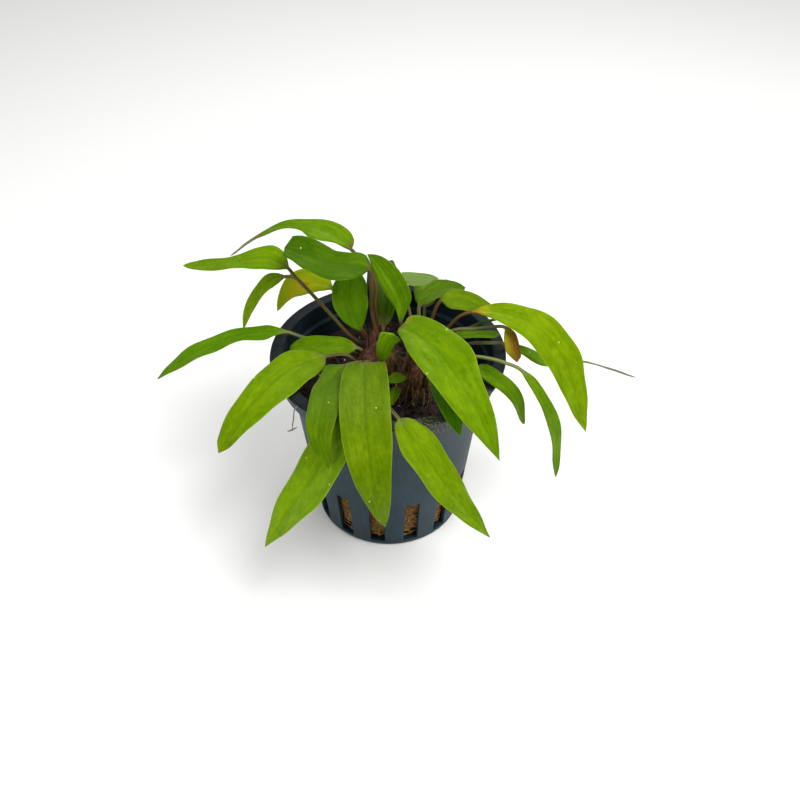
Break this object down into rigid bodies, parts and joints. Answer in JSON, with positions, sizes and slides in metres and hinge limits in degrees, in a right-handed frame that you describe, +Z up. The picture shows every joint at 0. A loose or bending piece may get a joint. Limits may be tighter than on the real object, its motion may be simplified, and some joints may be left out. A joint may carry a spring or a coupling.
{
  "type": "potted aquarium plant",
  "caption": "Broad-leaved aquarium plant with lance-shaped leaves arching out of a small slotted net pot filled with rockwool.",
  "frame": {"origin": "centre of the underside of the pot, on the surface it stands on", "axes": "+Z up through the pot's axis, -Y towards the viewer of the picture, +X to the viewer's right"},
  "size_m": [0.1149, 0.0827, 0.073],
  "materials": {
    "pot": "injection-moulded polypropylene, matt blue-grey",
    "rockwool": "stained mineral fibre, dark and wet on top",
    "crown": "fibrous red-brown plant stock",
    "leaf_bright": "yellow-green leaf, satin",
    "leaf_mid": "mid-green leaf, satin",
    "leaf_dark": "dark green leaf, satin",
    "leaf_pale": "underside of a leaf, pale grey-green and matt",
    "leaf_yellow": "old leaf turning yellow",
    "leaf_withered": "dried leaf, yellow to orange-brown",
    "root": "dry root thread"
  },
  "bodies": {
    "root": {"net_pot": "pot", "rockwool_plug": "rockwool", "crown_left": "crown", "crown_right": "crown", "leaf_front_centre": "leaf_bright", "leaf_front_inner": "leaf_mid", "leaf_low_left": "leaf_bright", "leaf_front_left": "leaf_bright", "leaf_low_right": "leaf_bright", "leaf_right_broad": "leaf_bright", "leaf_right_shaded": "leaf_dark", "leaf_left_short": "leaf_mid", "leaf_left_long": "leaf_mid", "leaf_left_high": "leaf_mid", "leaf_left_drooping": "leaf_dark", "leaf_left_yellow": "leaf_yellow", "leaf_arching_high": "leaf_mid", "leaf_top_dark": "leaf_dark", "leaf_centre_upright": "leaf_dark", "leaf_back_pale": "leaf_pale", "leaf_right_upright": "leaf_mid", "leaf_back_right": "leaf_mid", "leaf_back_low_left": "leaf_mid", "leaf_back_low_right": "leaf_mid", "leaf_right_inner": "leaf_mid", "leaf_right_long": "leaf_bright", "leaf_right_thread_tip": "leaf_mid", "leaf_right_slender": "leaf_dark", "leaf_right_short": "leaf_mid", "leaf_right_withered": "leaf_withered", "leaf_right_narrow_inner": "leaf_mid", "leaf_right_narrow_outer": "leaf_mid", "leaf_crown_small": "leaf_mid", "baby_leaf_upper": "leaf_bright", "baby_leaf_lower": "leaf_bright", "root_thread": "root"}
  },
  "joints": []
}
